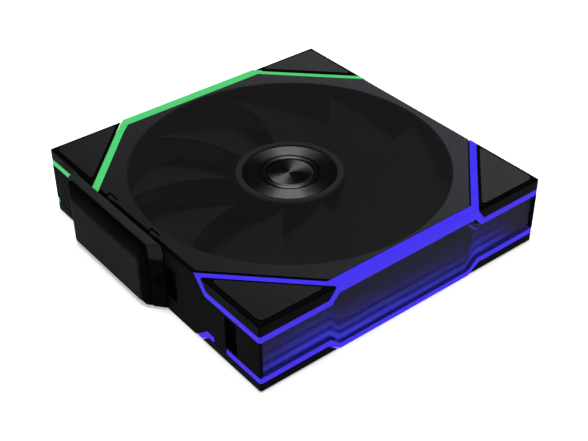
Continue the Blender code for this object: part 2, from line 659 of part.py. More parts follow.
# ---------------------------------------------------------------- contact boards and motor ribbon
left = box("contact_board_left", -HALF_X + 0.2, -HALF_X + 1.5, 0.2, 10.8, 9.0, 17.0)
right = box("contact_board_right", HALF_X - 1.5, HALF_X - 0.55, -5.3, 5.3, 9.0, 17.0, M_BOARD)
PIN_Y = [1.9 + 1.2 * i for i in range(7)]
# both boards carry their contact pads in one piece with them
join(left, *[box("p", -HALF_X + 0.05, -HALF_X + 0.4, y - 0.4, y + 0.4, 11.4, 14.6) for y in PIN_Y])
left.data.materials.append(M_BOARD)
tidy(left)
join(right, *[box("p", HALF_X - 0.7, HALF_X - 0.3, y - 5.9, y - 5.1, 11.4, 14.6) for y in PIN_Y])
tidy(right)

ribbon = [(-16.6, 2.9), (-16.6, 3.3), (-58.3, 3.3), (-58.3, 9.4), (-59.2, 9.4), (-59.2, 9.0), (-58.7, 9.0), (-58.7, 2.9)]
tidy(prism("motor_ribbon", ribbon, 0.1, 2.0, "y", M_RIBBON))

# ---------------------------------------------------------------- connector module
MODULE_SCREWS = ((-2.0, 17.6), (37.5, 10.2))
BX = -HALF_X - 0.3       # inner face of the module
base_plan = [(BX, -12.0), (BX, 43.0), (-64.6, 43.0), (-64.6, -8.0)]


def end_facet():
    """Cutter for the sloping facet on top of the module's near end."""
    n = Vector((-0.698, -0.658, 0.283))
    return half_spaces("facet", (-70.0, -20.0, 14.0), (-55.0, 4.0, 32.0), [(-n, -n.dot(Vector((-61.1, -10.4, 26.6))))])


base = prism("module_base", base_plan, 0.5, 26.6)
bevelled(base, 0.45)
# the top corner at the near end slopes down
cut(base, end_facet())
for y in RAIL_Y:
    pts = [(BX - 0.6, y - 1.25), (BX - 0.6, y + 1.25), (-HALF_X + 0.1, y + 1.35), (-HALF_X + 2.1, y + 2.45),
           (-HALF_X + 2.1, y - 2.45), (-HALF_X + 0.1, y - 1.35)]
    join(base, prism("tenon", pts, 4.2, 26.2))
# pocket for the board, open to the cover side, and a window for the spring pins
cut(base, box("pocket", -65.5, -62.9, 0.0, 34.0, 5.0, 21.0))
cut(base, box("window", -63.5, -60.5, 0.6, 10.4, 9.6, 16.4))
for cy, cz in MODULE_SCREWS:
    cut(base, cylinder("hole", 0.95, -65.0, -61.0, 12, cy, cz, axis="x"), cylinder("head", 1.7, -62.5, -61.0, 12, cy, cz, axis="x"))
inlet = rounded([(-64.0, 10.2), (-62.1, 10.2), (-62.1, 13.8), (-64.0, 13.8)][::-1], 0.9, 3)
cut(base, prism("inlet", inlet, -14.0, 1.0, "y"))
base.data.materials.append(M_MODULE)
tidy(base)

cover_plan = [(-64.9, 41.0), (-65.9, 41.0), (-66.9, 38.6), (-66.9, -3.4), (-66.5, -5.1), (-65.6, -6.9), (-64.9, -7.6)]
cover = prism("module_cover", cover_plan, 1.2, 25.9)
brow = [(-64.85, 25.9), (-65.35, 25.4), (-65.95, 24.3), (-66.45, 22.7), (-66.8, 20.9), (-66.9, 19.6), (-68.0, 19.6), (-68.0, 27.0), (-64.85, 27.0)]
cut(cover, prism("brow", brow, -20.0, 50.0, "y"), end_facet())
cut(cover, box("under", -68.0, -66.2, -20.0, 50.0, 0.0, 2.0))
cut(cover, *[cylinder("pilot", 0.95, -66.1, -64.0, 12, cy, cz, axis="x") for cy, cz in MODULE_SCREWS])
cover.data.materials.append(M_MODULE)
tidy(cover)
board = box("module_board", -64.5, -63.9, 0.3, 33.7, 5.3, 20.7)
join(board, box("chip", -64.2, -63.3, 14.0, 20.0, 9.0, 15.0), box("chip", -64.2, -63.3, 24.0, 30.0, 8.0, 12.0))
board.data.materials.append(M_BOARD)
tidy(board)
module = [base, cover, board]
for i, (cy, cz) in enumerate(MODULE_SCREWS):
    screw = cylinder("module_screw_%d" % (i + 1), 1.4, -62.2, -61.5, 12, cy, cz, M_STEEL, "x")
    join(screw, cylinder("shank", 0.65, -65.8, -62.0, 12, cy, cz, None, "x"))
    cut(screw, box("slot", -61.8, -61.0, cy - 1.0, cy + 1.0, cz - 0.18, cz + 0.18), box("slot", -61.8, -61.0, cy - 0.18, cy + 0.18, cz - 1.0, cz + 1.0))
    module.append(tidy(screw))
outer = rounded([(-63.7, 10.5), (-62.4, 10.5), (-62.4, 13.5), (-63.7, 13.5)][::-1], 0.6, 3)
inner = rounded([(-63.4, 10.9), (-62.7, 10.9), (-62.7, 13.1), (-63.4, 13.1)][::-1], 0.33, 3)
grommet = prism("cable_grommet", outer, -9.2, -0.3, "y", M_PAD)
cut(grommet, prism("bore", inner, -12.0, 3.0, "y"))
module.append(tidy(grommet))

# floating contact block: a light carrier bar with seven tips, pressed on by springs
pins = box("contact_block", -63.3, -62.7, 1.2, 9.8, 12.1, 13.9)
for y in PIN_Y:
    join(pins, cylinder("tip", 0.32, -62.9, -61.3, 8, y, 13.0, None, "x"))
pins.data.materials.append(M_GOLD)
contact_pins = tidy(pins)

# ---------------------------------------------------------------- metres, pivots
for ob in bpy.context.scene.objects:
    if ob.type == "MESH":
        ob.data.transform(Matrix.Scale(MM, 4))
        ob.data.update()


def pivot(name, location, children):
    e = bpy.data.objects.new(name, None)
    e.empty_display_size = 0.01
    e.location = location
    bpy.context.scene.collection.objects.link(e)
    for c in children:
        c.data.transform(Matrix.Translation([-v for v in location]))
        c.parent = e
    return e


pivot("rotor_axis", (0.0, 0.0, 0.0135), rotor)
pivot("module_slide_axis", (-0.063, 0.016, 0.0135), module)
pivot("pin_axis", (-0.0623, 0.0055, 0.013), [contact_pins])
bpy.context.view_layer.update()
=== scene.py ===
import math

import bmesh
import bpy
from mathutils import Matrix, Vector


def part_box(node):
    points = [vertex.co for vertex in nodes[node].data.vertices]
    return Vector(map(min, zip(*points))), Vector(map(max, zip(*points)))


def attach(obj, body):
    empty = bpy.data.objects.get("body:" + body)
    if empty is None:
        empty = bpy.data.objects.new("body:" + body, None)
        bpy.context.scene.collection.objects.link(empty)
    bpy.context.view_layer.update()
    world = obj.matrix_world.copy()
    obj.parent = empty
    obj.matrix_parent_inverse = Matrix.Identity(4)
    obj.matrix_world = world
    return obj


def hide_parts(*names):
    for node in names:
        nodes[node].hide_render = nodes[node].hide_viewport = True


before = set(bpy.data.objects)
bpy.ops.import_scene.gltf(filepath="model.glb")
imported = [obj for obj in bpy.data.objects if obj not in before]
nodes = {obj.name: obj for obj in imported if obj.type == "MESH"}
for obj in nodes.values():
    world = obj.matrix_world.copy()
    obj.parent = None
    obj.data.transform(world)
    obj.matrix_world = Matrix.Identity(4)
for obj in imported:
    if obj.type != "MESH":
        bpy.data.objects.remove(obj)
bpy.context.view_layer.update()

MM = 0.001
scene = bpy.context.scene
scene.view_settings.view_transform = "Standard"
scene.view_settings.look = "None"

CORNERS = {"front_left": (-1, -1), "front_right": (1, -1), "back_right": (1, 1), "back_left": (-1, 1)}


# ---------------------------------------------------------------- node helper
class Graph:
    """Short hand for building a node tree round one Principled shader."""

    def __init__(self, name):
        self.mat = bpy.data.materials.new(name)
        self.mat.use_nodes = True
        self.nt = self.mat.node_tree
        self.bsdf = self.nt.nodes["Principled BSDF"]
        self.coord = self.nt.nodes.new("ShaderNodeTexCoord")
        self.obj = self.coord.outputs["Object"]

    def link(self, a, b):
        self.nt.links.new(a, b)

    def math(self, op, a, b=None, clamp=False):
        n = self.nt.nodes.new("ShaderNodeMath")
        n.operation = op
        n.use_clamp = clamp
        for i, v in enumerate((a, b)):
            if v is None:
                continue
            if hasattr(v, "links"):
                self.link(v, n.inputs[i])
            else:
                n.inputs[i].default_value = v
        return n.outputs[0]

    def xyz(self):
        n = self.nt.nodes.new("ShaderNodeSeparateXYZ")
        self.link(self.obj, n.inputs[0])
        return n.outputs

    def noise(self, scale, detail=4.0, rough=0.55, stretch=None):
        n = self.nt.nodes.new("ShaderNodeTexNoise")
        n.inputs["Scale"].default_value = scale
        n.inputs["Detail"].default_value = detail
        n.inputs["Roughness"].default_value = rough
        src = self.obj
        if stretch:
            m = self.nt.nodes.new("ShaderNodeMapping")
            m.inputs["Scale"].default_value = stretch
            self.link(self.obj, m.inputs["Vector"])
            src = m.outputs[0]
        self.link(src, n.inputs["Vector"])
        return n.outputs[0]

    def ramp(self, fac, stops):
        n = self.nt.nodes.new("ShaderNodeValToRGB")
        e = n.color_ramp.elements
        while len(e) < len(stops):
            e.new(0.5)
        for el, (p, c) in zip(e, stops):
            el.position = p
            el.color = (*c, 1.0) if len(c) == 3 else c
        self.link(fac, n.inputs[0])
        return n.outputs[0]

    def spread(self, fac, lo, hi, a=0.3, b=0.7):
        n = self.nt.nodes.new("ShaderNodeMapRange")
        n.inputs["From Min"].default_value = a
        n.inputs["From Max"].default_value = b
        n.inputs["To Min"].default_value = lo
        n.inputs["To Max"].default_value = hi
        self.link(fac, n.inputs["Value"])
        return n.outputs[0]

    def mix(self, fac, a, b):
        n = self.nt.nodes.new("ShaderNodeMix")
        n.data_type = "RGBA"
        self.link(fac, n.inputs["Factor"])
        for sock, v in ((n.inputs["A"], a), (n.inputs["B"], b)):
            pass
        cols = [s for s in n.inputs if s.type == "RGBA"]
        for s, v in zip(cols, (a, b)):
            if hasattr(v, "links"):
                self.link(v, s)
            else:
                s.default_value = (*v, 1.0)
        return [o for o in n.outputs if o.type == "RGBA"][0]

    def bump(self, height, strength, distance):
        n = self.nt.nodes.new("ShaderNodeBump")
        n.inputs["Strength"].default_value = strength
        n.inputs["Distance"].default_value = distance
        self.link(height, n.inputs["Height"])
        self.link(n.outputs[0], self.bsdf.inputs["Normal"])

    def put(self, name, value):
        s = self.bsdf.inputs[name]
        if hasattr(value, "links"):
            self.link(value, s)
        elif isinstance(value, tuple):
            s.default_value = (*value, 1.0)
        else:
            s.default_value = value


def scaled(c, k):
    return tuple(min(1.0, v * k) for v in c)


def moulded(name, colour, rough=0.5, spec=0.25, grain=2600.0, bump=0.12, vary=0.25, coat=0.0):
    """Moulded plastic or rubber: fine grain, faint tone drift, uneven roughness."""
    g = Graph(name)
    broad = g.noise(38.0, 5.0)
    fine = g.noise(grain, 2.0)
    g.put("Base Color", g.ramp(broad, [(0.25, scaled(colour, 1 - vary)), (0.75, scaled(colour, 1 + vary))]))
    g.put("Roughness", g.spread(g.noise(90.0, 6.0), rough - 0.07, rough + 0.08))
    g.put("Specular IOR Level", spec)
    if coat:
        g.put("Coat Weight", coat)
        g.put("Coat Roughness", 0.08)
    g.bump(fine, bump, 0.00006)
    return g.mat


def metal(name, colour, rough, stretch=(1, 1, 1), grain=900.0):
    """Bright metal with fine directional lines."""
    g = Graph(name)
    lines = g.noise(grain, 3.0, 0.6, stretch)
    g.put("Base Color", g.ramp(lines, [(0.3, scaled(colour, 0.82)), (0.7, scaled(colour, 1.08))]))
    g.put("Metallic", 1.0)
    g.put("Roughness", g.spread(lines, rough - 0.05, rough + 0.09))
    g.bump(lines, 0.08, 0.00005)
    return g.mat


def light_guide(name, colour, glow, strength):
    """Frosted light guide: milky body with an even glow."""
    g = Graph(name)
    n = g.noise(160.0, 3.0)
    g.put("Base Color", g.ramp(n, [(0.3, scaled(colour, 0.85)), (0.7, scaled(colour, 1.12))]))
    g.put("Roughness", g.spread(g.noise(700.0, 2.0), 0.42, 0.58))
    g.put("Specular IOR Level", 0.02)
    g.put("Emission Color", glow)
    g.put("Emission Strength", strength)
    g.bump(g.noise(1500.0, 2.0), 0.05, 0.00005)
    return g.mat


def frame_plastic():
    """Moulded frame: grained front plate; painted light and shade make the flanks and edges darker and put a painted
    cool light spill beside the blue line.
    """
    g = Graph("mat_frame")
    x, y, z = g.xyz()
    broad = g.noise(30.0, 5.0)
    # painted light and shade: one plastic in lit and shaded copies, with the top plate lighter, the flanks darkest
    # and the duct wall between
    flank = g.ramp(broad, [(0.25, (0.0024, 0.0024, 0.0032)), (0.75, (0.0032, 0.0032, 0.0041))])
    plate = g.ramp(broad, [(0.25, (0.0122, 0.0124, 0.0136)), (0.75, (0.0140, 0.0142, 0.0155))])
    painted_cool_light = g.ramp(broad, [(0.25, (0.0340, 0.0345, 0.0400)), (0.75, (0.0380, 0.0385, 0.0450))])
    wall = g.ramp(broad, [(0.25, (0.0185, 0.0185, 0.0185)), (0.75, (0.0210, 0.0210, 0.0212))])
    # painted cool light: the plate is painted bluer and lighter towards the right
    near = g.math("MULTIPLY", g.math("ADD", x, 0.061), 1.0 / 0.122, clamp=True)
    top = g.mix(near, plate, painted_cool_light)
    up = g.math("MULTIPLY", g.math("SUBTRACT", z, 0.02672), 1.0 / 0.00004, clamp=True)
    r = g.math("SQRT", g.math("ADD", g.math("MULTIPLY", x, x), g.math("MULTIPLY", y, y)))
    inside = g.math("MULTIPLY", g.math("SUBTRACT", 0.0577, r), 1.0 / 0.0002, clamp=True)
    col = g.mix(inside, flank, wall)
    # painted shade: the broken top edge along the coupling sides is painted almost black
    edge_shade_mask = g.math("MULTIPLY", g.math("SUBTRACT", g.math("ABSOLUTE", x), 0.06005), 1.0 / 0.00005, clamp=True)
    high = g.math("MULTIPLY", g.math("SUBTRACT", z, 0.02545), 1.0 / 0.0001, clamp=True)
    col = g.mix(g.math("MULTIPLY", edge_shade_mask, high), col, (0.0016, 0.0016, 0.0020))
    col = g.mix(up, col, top)
    g.put("Base Color", col)
    g.put("Roughness", g.spread(g.noise(90.0, 6.0), 0.50, 0.64))
    g.put("Specular IOR Level", 0.008)
    g.bump(g.noise(2600.0, 2.0), 0.10, 0.00005)
    return g.mat


def cap_plastic():
    """Corner cap: near-black margin of painted shade on the face, satin flank below it; the bottom edge is painted
    near-black too.
    """
    g = Graph("mat_cap")
    x, y, z = g.xyz()
    n = g.noise(60.0, 4.0)
    flank = g.ramp(n, [(0.25, (0.0022, 0.0022, 0.0034)), (0.75, (0.0030, 0.0030, 0.0044))])
    face = g.ramp(n, [(0.25, (0.0012, 0.0012, 0.0015)), (0.75, (0.0020, 0.0020, 0.0024))])
    # painted shade: bands near the top and bottom edges are painted near-black
    mid = g.math("ABSOLUTE", g.math("SUBTRACT", z, 0.0135))
    edge_band_shade = g.math("MULTIPLY", g.math("SUBTRACT", mid, 0.01235), 1.0 / 0.0004, clamp=True)
    g.put("Base Color", g.mix(edge_band_shade, flank, face))
    g.put("Roughness", g.spread(g.noise(120.0, 5.0), 0.36, 0.50))
    g.put("Specular IOR Level", 0.008)
    g.bump(g.noise(2200.0, 2.0), 0.08, 0.00005)
    return g.mat


def module_plastic(name, band):
    """Connector module: satin faces; the cover's rounded rim and near end are painted near-black as shade, and the
    base is painted lighter on top and darker on the flanks.
    """
    g = Graph(name)
    x, y, z = g.xyz()
    n = g.noise(45.0, 5.0)
    face = g.ramp(n, [(0.25, (0.0120, 0.0122, 0.0132)), (0.75, (0.0140, 0.0142, 0.0153))])
    if band:
        # painted shade: the rounded top rim and the near end of the cover are painted near-black
        rim_painted_shade = g.ramp(n, [(0.25, (0.0006, 0.0006, 0.0008)), (0.75, (0.0012, 0.0012, 0.0014))])
        top_rim_shade_mask = g.math("MULTIPLY", g.math("SUBTRACT", z, 0.0188), 1.0 / 0.0012, clamp=True)
        near_end_shade_mask = g.math("MULTIPLY", g.math("SUBTRACT", -0.0036, y), 1.0 / 0.0010, clamp=True)
        g.put("Base Color", g.mix(g.math("MAXIMUM", top_rim_shade_mask, near_end_shade_mask), face, rim_painted_shade))
    else:
        # painted light and shade: the base top is painted lighter and its flanks darker, for how light falls
        top = g.ramp(n, [(0.25, (0.0165, 0.0185, 0.0195)), (0.75, (0.0195, 0.0215, 0.0228))])
        flank = g.ramp(n, [(0.25, (0.0018, 0.0018, 0.0021)), (0.75, (0.0026, 0.0026, 0.0030))])
        up = g.math("MULTIPLY", g.math("SUBTRACT", z, 0.0205), 1.0 / 0.0012, clamp=True)
        col = g.mix(up, flank, top)
        # tenon tops: painted shade makes a black strip beside the shell; inside the grooves they take the frame
        # plate's tone
        groove_shade_mask = g.math("MULTIPLY", g.math("SUBTRACT", x, -0.06125), 1.0 / 0.00005, clamp=True)
        inside = g.math("MULTIPLY", g.math("SUBTRACT", x, -0.06012), 1.0 / 0.00005, clamp=True)
        col = g.mix(groove_shade_mask, col, (0.0014, 0.0014, 0.0018))
        col = g.mix(inside, col, (0.0140, 0.0142, 0.0155))
        g.put("Base Color", col)
    g.put("Roughness", g.spread(g.noise(100.0, 6.0), 0.48, 0.62))
    g.put("Specular IOR Level", 0.006)
    g.bump(g.noise(3200.0, 2.0), 0.10, 0.00005)
    return g.mat


def blade_plastic():
    g = Graph("mat_blade")
    n = g.noise(40.0, 5.0)
    x, y, z = g.xyz()
    r = g.math("SQRT", g.math("ADD", g.math("MULTIPLY", x, x), g.math("MULTIPLY", y, y)))
    blade = g.ramp(n, [(0.25, (0.0040, 0.0040, 0.0040)), (0.75, (0.0048, 0.0048, 0.0048))])
    lip = g.ramp(n, [(0.25, (0.0110, 0.0110, 0.0122)), (0.75, (0.0135, 0.0135, 0.0148))])
    # the hub's raised lip is a little lighter
    a = g.math("MULTIPLY", g.math("SUBTRACT", 0.0200, r), 1.0 / 0.0002, clamp=True)
    b = g.math("MULTIPLY", g.math("SUBTRACT", z, 0.0229), 1.0 / 0.0004, clamp=True)
    g.put("Base Color", g.mix(g.math("MULTIPLY", a, b), blade, lip))
    g.put("Roughness", g.spread(g.noise(120.0, 5.0), 0.70, 0.84))
    g.put("Specular IOR Level", 0.02)
    # painted glow: a faint even emission lifts the blades
    g.put("Emission Color", (1.0, 1.0, 1.0))
    g.put("Emission Strength", 0.0076)
    g.bump(g.noise(2600.0, 2.0), 0.06, 0.00004)
    return g.mat


FRAME = frame_plastic()
BLACK = moulded("mat_bracket", (0.0100, 0.0100, 0.0105), 0.60, 0.02)
# painted glow: a faint even emission lifts the bracket
BLACK.node_tree.nodes["Principled BSDF"].inputs["Emission Color"].default_value = (1.0, 1.0, 1.0, 1.0)
BLACK.node_tree.nodes["Principled BSDF"].inputs["Emission Strength"].default_value = 0.0075
BLADE = blade_plastic()
CAP = cap_plastic()


def pad_rubber():
    """Fine-grained rubber corner pads; painted light makes them lighter towards the right-hand side."""
    g = Graph("mat_pad")
    x, y, z = g.xyz()
    n = g.noise(70.0, 5.0)
    dark = g.ramp(n, [(0.25, (0.0108, 0.0112, 0.0124)), (0.75, (0.0128, 0.0132, 0.0146))])
    light = g.ramp(n, [(0.25, (0.0290, 0.0300, 0.0320)), (0.75, (0.0335, 0.0345, 0.0368))])
    # painted light: the pad tone is painted lighter towards the right-hand side
    g.put("Base Color", g.mix(g.math("MULTIPLY", g.math("ADD", x, 0.060), 1.0 / 0.115, clamp=True), dark, light))
    g.put("Roughness", g.spread(g.noise(140.0, 5.0), 0.66, 0.82))
    g.put("Specular IOR Level", 0.02)
    g.bump(g.noise(1800.0, 2.0), 0.16, 0.00005)
    return g.mat


PAD = pad_rubber()
MODULE = module_plastic("mat_module_base", False)
COVER = module_plastic("mat_module_cover", True)
RUBBER = moulded("mat_grommet", (0.0016, 0.0016, 0.0018), 0.7, 0.03)
BOARD = moulded("mat_board", (0.006, 0.012, 0.008), 0.42, 0.2, grain=900.0, bump=0.05)
LABEL = moulded("mat_label", (0.035, 0.035, 0.036), 0.45, 0.3, grain=5000.0, bump=0.04)
NYLON = moulded("mat_nylon", (0.52, 0.50, 0.43), 0.5, 0.4)
RIBBON = moulded("mat_ribbon", (0.02, 0.02, 0.02), 0.5, 0.3)
FERRITE = moulded("mat_ferrite", (0.045, 0.045, 0.05), 0.6, 0.4)
LEDMAT = moulded("mat_led", (0.60, 0.60, 0.54), 0.4, 0.4)
STEEL = metal("mat_steel", (0.50, 0.50, 0.51), 0.30)
BRASS = metal("mat_brass", (0.62, 0.45, 0.20), 0.32)
COPPER = metal("mat_copper", (0.72, 0.33, 0.16), 0.36, (1, 1, 6), 1500.0)
GOLD = metal("mat_gold", (0.85, 0.62, 0.25), 0.25)
BLUE = light_guide("mat_blue_guide", (0.004, 0.004, 0.18), (0.057, 0.032, 0.74), 0.95)
GREEN = light_guide("mat_green_guide", (0.010, 0.09, 0.03), (0.080, 0.57, 0.158), 0.95)


def window_plastic(name, tint):
    """Smoked clear window over the light tunnel."""
    g = Graph(name)
    g.put("Base Color", g.ramp(g.noise(50.0, 4.0), [(0.3, scaled(tint, 0.8)), (0.7, scaled(tint, 1.2))]))
    g.put("Roughness", g.spread(g.noise(70.0, 5.0), 0.10, 0.18))
    g.put("Specular IOR Level", 0.01)
    g.put("Alpha", 0.22)
    return g.mat


WIN_BLUE = window_plastic("mat_window_blue", (0.006, 0.006, 0.012))
WIN_GREEN = window_plastic("mat_window_green", (0.006, 0.012, 0.007))


def paint(name, mat):
    ob = nodes[name]
    ob.data.materials.clear()
    ob.data.materials.append(mat)


for n in nodes:
    if n.startswith(("front_cap", "rear_cap")):
        paint(n, CAP)
    elif n.startswith(("front_pad", "rear_pad")):
        paint(n, PAD)
    elif n == "cable_grommet":
        paint(n, RUBBER)
    elif n.startswith("led_strip"):
        paint(n, LEDMAT)
    elif "light_guide" in n:
        paint(n, BLUE if n.endswith("blue") else GREEN)
    elif n.startswith("mirror_window"):
        paint(n, WIN_BLUE if n.endswith("blue") else WIN_GREEN)
    elif n == "duct_frame":
        paint(n, FRAME)
    elif n == "motor_bracket":
        paint(n, BLACK)
    elif n == "impeller":
        paint(n, BLADE)
    elif n == "module_base":
        paint(n, MODULE)
    elif n == "module_cover":
        paint(n, COVER)
    elif n in ("motor_board", "module_board", "contact_board_left", "contact_board_right"):
        paint(n, BOARD)
    elif n == "motor_rear_cover":
        paint(n, LABEL)
    elif n in ("thrust_washer", "stator_insulator"):
        paint(n, NYLON)
    elif n == "motor_ribbon":
        paint(n, RIBBON)
    elif n == "magnet_ring":
        paint(n, FERRITE)
    elif n == "stator_windings":
        paint(n, COPPER)
    elif n == "contact_block":
        paint(n, GOLD)
    elif n in ("bearing_tube", "bearing_sleeve", "rotor_bushing"):
        paint(n, BRASS)
    else:
        paint(n, STEEL)


# ---------------------------------------------------------------- mesh helpers for new pieces (mm in, metres out)
def piece(name, bm, mat, body, smooth=35.0):
    bmesh.ops.recalc_face_normals(bm, faces=bm.faces[:])
    bm.transform(Matrix.Scale(MM, 4))
    me = bpy.data.meshes.new(name)
    bm.to_mesh(me)
    bm.free()
    me.materials.append(mat)
    me.shade_smooth()
    me.set_sharp_from_angle(angle=math.radians(smooth))
    ob = bpy.data.objects.new(name, me)
    scene.collection.objects.link(ob)
    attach(ob, body)
    return ob


def ring_bm(profile, n, closed=True):
    """Revolve an (r, z) profile about Z; r = 0 collapses to one vertex."""
    bm = bmesh.new()
    rings = []
    for r, z in profile:
        if r < 1e-6:
            rings.append([bm.verts.new((0, 0, z))])
        else:
            rings.append([bm.verts.new((r * math.cos(2 * math.pi * k / n), r * math.sin(2 * math.pi * k / n), z)) for k in range(n)])
    last = len(rings) if closed else len(rings) - 1
    for i in range(last):
        a, b = rings[i], rings[(i + 1) % len(rings)]
        if len(a) == 1 and len(b) == 1:
            continue
        for k in range(n):
            j = (k + 1) % n
            if len(a) == 1:
                bm.faces.new((a[0], b[k], b[j]))
            elif len(b) == 1:
                bm.faces.new((a[k], b[0], a[j]))
            else:
                bm.faces.new((a[k], b[k], b[j], a[j]))
    return bm


# ---------------------------------------------------------------- hub disc with turned grooves
def spun_metal(name, turn, base):
    """Lathe-turned metal: highlights spread across the grooves."""
    g = Graph(name)
    x, y, z = g.xyz()
    r = g.math("SQRT", g.math("ADD", g.math("MULTIPLY", x, x), g.math("MULTIPLY", y, y)))
    comb = g.nt.nodes.new("ShaderNodeCombineXYZ")
    g.link(g.math("MULTIPLY", r, 1.0), comb.inputs[0])
    n = g.nt.nodes.new("ShaderNodeTexNoise")
    n.inputs["Scale"].default_value = 2600.0
    n.inputs["Detail"].default_value = 2.0
    g.link(comb.outputs[0], n.inputs["Vector"])
    rings = n.outputs[0]
    g.put("Base Color", g.ramp(rings, [(0.3, scaled(base, 0.8)), (0.7, scaled(base, 1.2))]))
    g.put("Metallic", 1.0)
    g.put("Roughness", g.spread(rings, 0.26, 0.32))
    g.put("Anisotropic", 1.0)
    g.put("Anisotropic Rotation", turn)
    t = g.nt.nodes.new("ShaderNodeTangent")
    t.direction_type = "RADIAL"
    t.axis = "Z"
    g.link(t.outputs[0], g.bsdf.inputs["Tangent"])
    return g.mat


DISC_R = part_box("hub_cap")[1][0] / MM
DISC_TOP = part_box("hub_cap")[1][2] / MM
k = DISC_R / 16.75
zt = DISC_TOP - 23.3
outer = [(8.62, 22.40), (10.15, 22.40), (16.5, 22.40), (16.72, 22.60), (16.72, 23.00), (16.58, 23.16), (16.40, 23.22)]
for i in range(9):
    # shallow turned steps, deepest first at the outside
    r0 = 16.3 - i * 0.6
    outer += [(r0, 23.235), (r0 - 0.30, 23.222)]
outer += [(10.92, 23.23), (10.86, 23.14), (10.82, 22.94), (10.24, 22.94), (10.20, 23.14), (10.08, 23.27), (9.95, 23.295),
          (8.76, 23.295), (8.66, 23.27), (8.62, 23.16)]
disc = piece("hub_disc_turned", ring_bm([(r * k, z + zt) for r, z in outer], 144), spun_metal("mat_spun_outer", 0.25, (0.064, 0.065, 0.068)), "rotor", 50.0)
inner = [(0.0, 22.40), (8.30, 22.40), (8.30, 22.90), (8.22, 23.02), (8.04, 23.06)]
for i in range(10):
    r0 = 7.8 - i * 0.72
    inner += [(r0, 23.075), (r0 - 0.36, 23.062)]
inner += [(0.45, 23.07), (0.30, 23.02), (0.0, 23.01)]
centre = piece("hub_disc_centre", ring_bm([(r * k, z + zt) for r, z in inner], 96), spun_metal("mat_spun_inner", 0.35, (0.046, 0.047, 0.050)), "rotor", 50.0)
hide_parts("hub_cap")
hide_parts("hub_cap")
seam = [(10.30, 22.96), (10.76, 22.96), (10.76, 23.10), (10.30, 23.10)]
piece("hub_disc_groove", ring_bm([(r * k, z + zt) for r, z in seam], 144), moulded("mat_groove", (0.0020, 0.0020, 0.0022), 0.7, 0.01), "rotor", 20.0)


# ---------------------------------------------------------------- painted reflections of the light lines behind the smoked windows
LEVELS = [0.026 * 1.36 ** i for i in range(12)]


def painted_reflection_palette(tag):
    """Painted reflection glow colours, then the same levels again as clear deep-coloured seams between the painted
    reflections.
    """
    mats = []
    for tier in ("glow", "seam"):
        for i, b in enumerate(LEVELS):
            g = Graph("mat_tunnel_%s_%s_%02d" % (tag, tier, i))
            haze, share = (0.0155, 0.052) if tier == "glow" else (0.0085, 0.008)
            if tag == "blue":
                colour = (haze + share * b, 0.92 * haze + 0.9 * share * b, b)
            else:
                colour = (haze + 0.7 * share * b, 0.75 * b + 0.006, haze + 3.0 * share * b)
            n = g.noise(90.0, 3.0)
            body = scaled(colour, 0.06)
            g.put("Base Color", g.ramp(n, [(0.3, scaled(body, 0.9)), (0.7, scaled(body, 1.1))]))
            g.put("Roughness", g.spread(g.noise(300.0, 2.0), 0.35, 0.45))
            g.put("Specular IOR Level", 0.02)
            g.put("Emission Color", colour)
            g.put("Emission Strength", 1.22)
            mats.append(g.mat)
    return mats


def tunnel_level(x, v):
    """Brightness of the painted repeated reflection of the light line: x along the side, v above the lower line (mm).
    """
    ax = abs(x)
    if ax < 30.5:
        peak, fade, first = 0.60 - 0.0065 * (x + 5.0), 5.0, 1.6
    elif x < 0:
        peak, fade, first = 0.69 - 0.016 * max(0.0, -40.0 - x), 5.4, 2.15
    else:
        peak, fade, first = max(0.05, 0.57 - 0.028 * (x - 35.5)), 5.2, 2.15
    if v < first - 1.5:
        return -0.15 * peak / 0.60
    env = peak * math.exp(-max(0.0, v - first) / fade)
    wave = 0.5 * (1.0 + math.cos(2 * math.pi * (v - first) / 3.8))
    depth = 0.42 if v < 5.0 else (0.34 if v < 9.0 else 0.22)
    b = max(env * (1.0 - depth * (1.0 - wave)), 0.036)
    return -b if wave < 0.22 and v < first + 8.5 and b > 0.09 else b


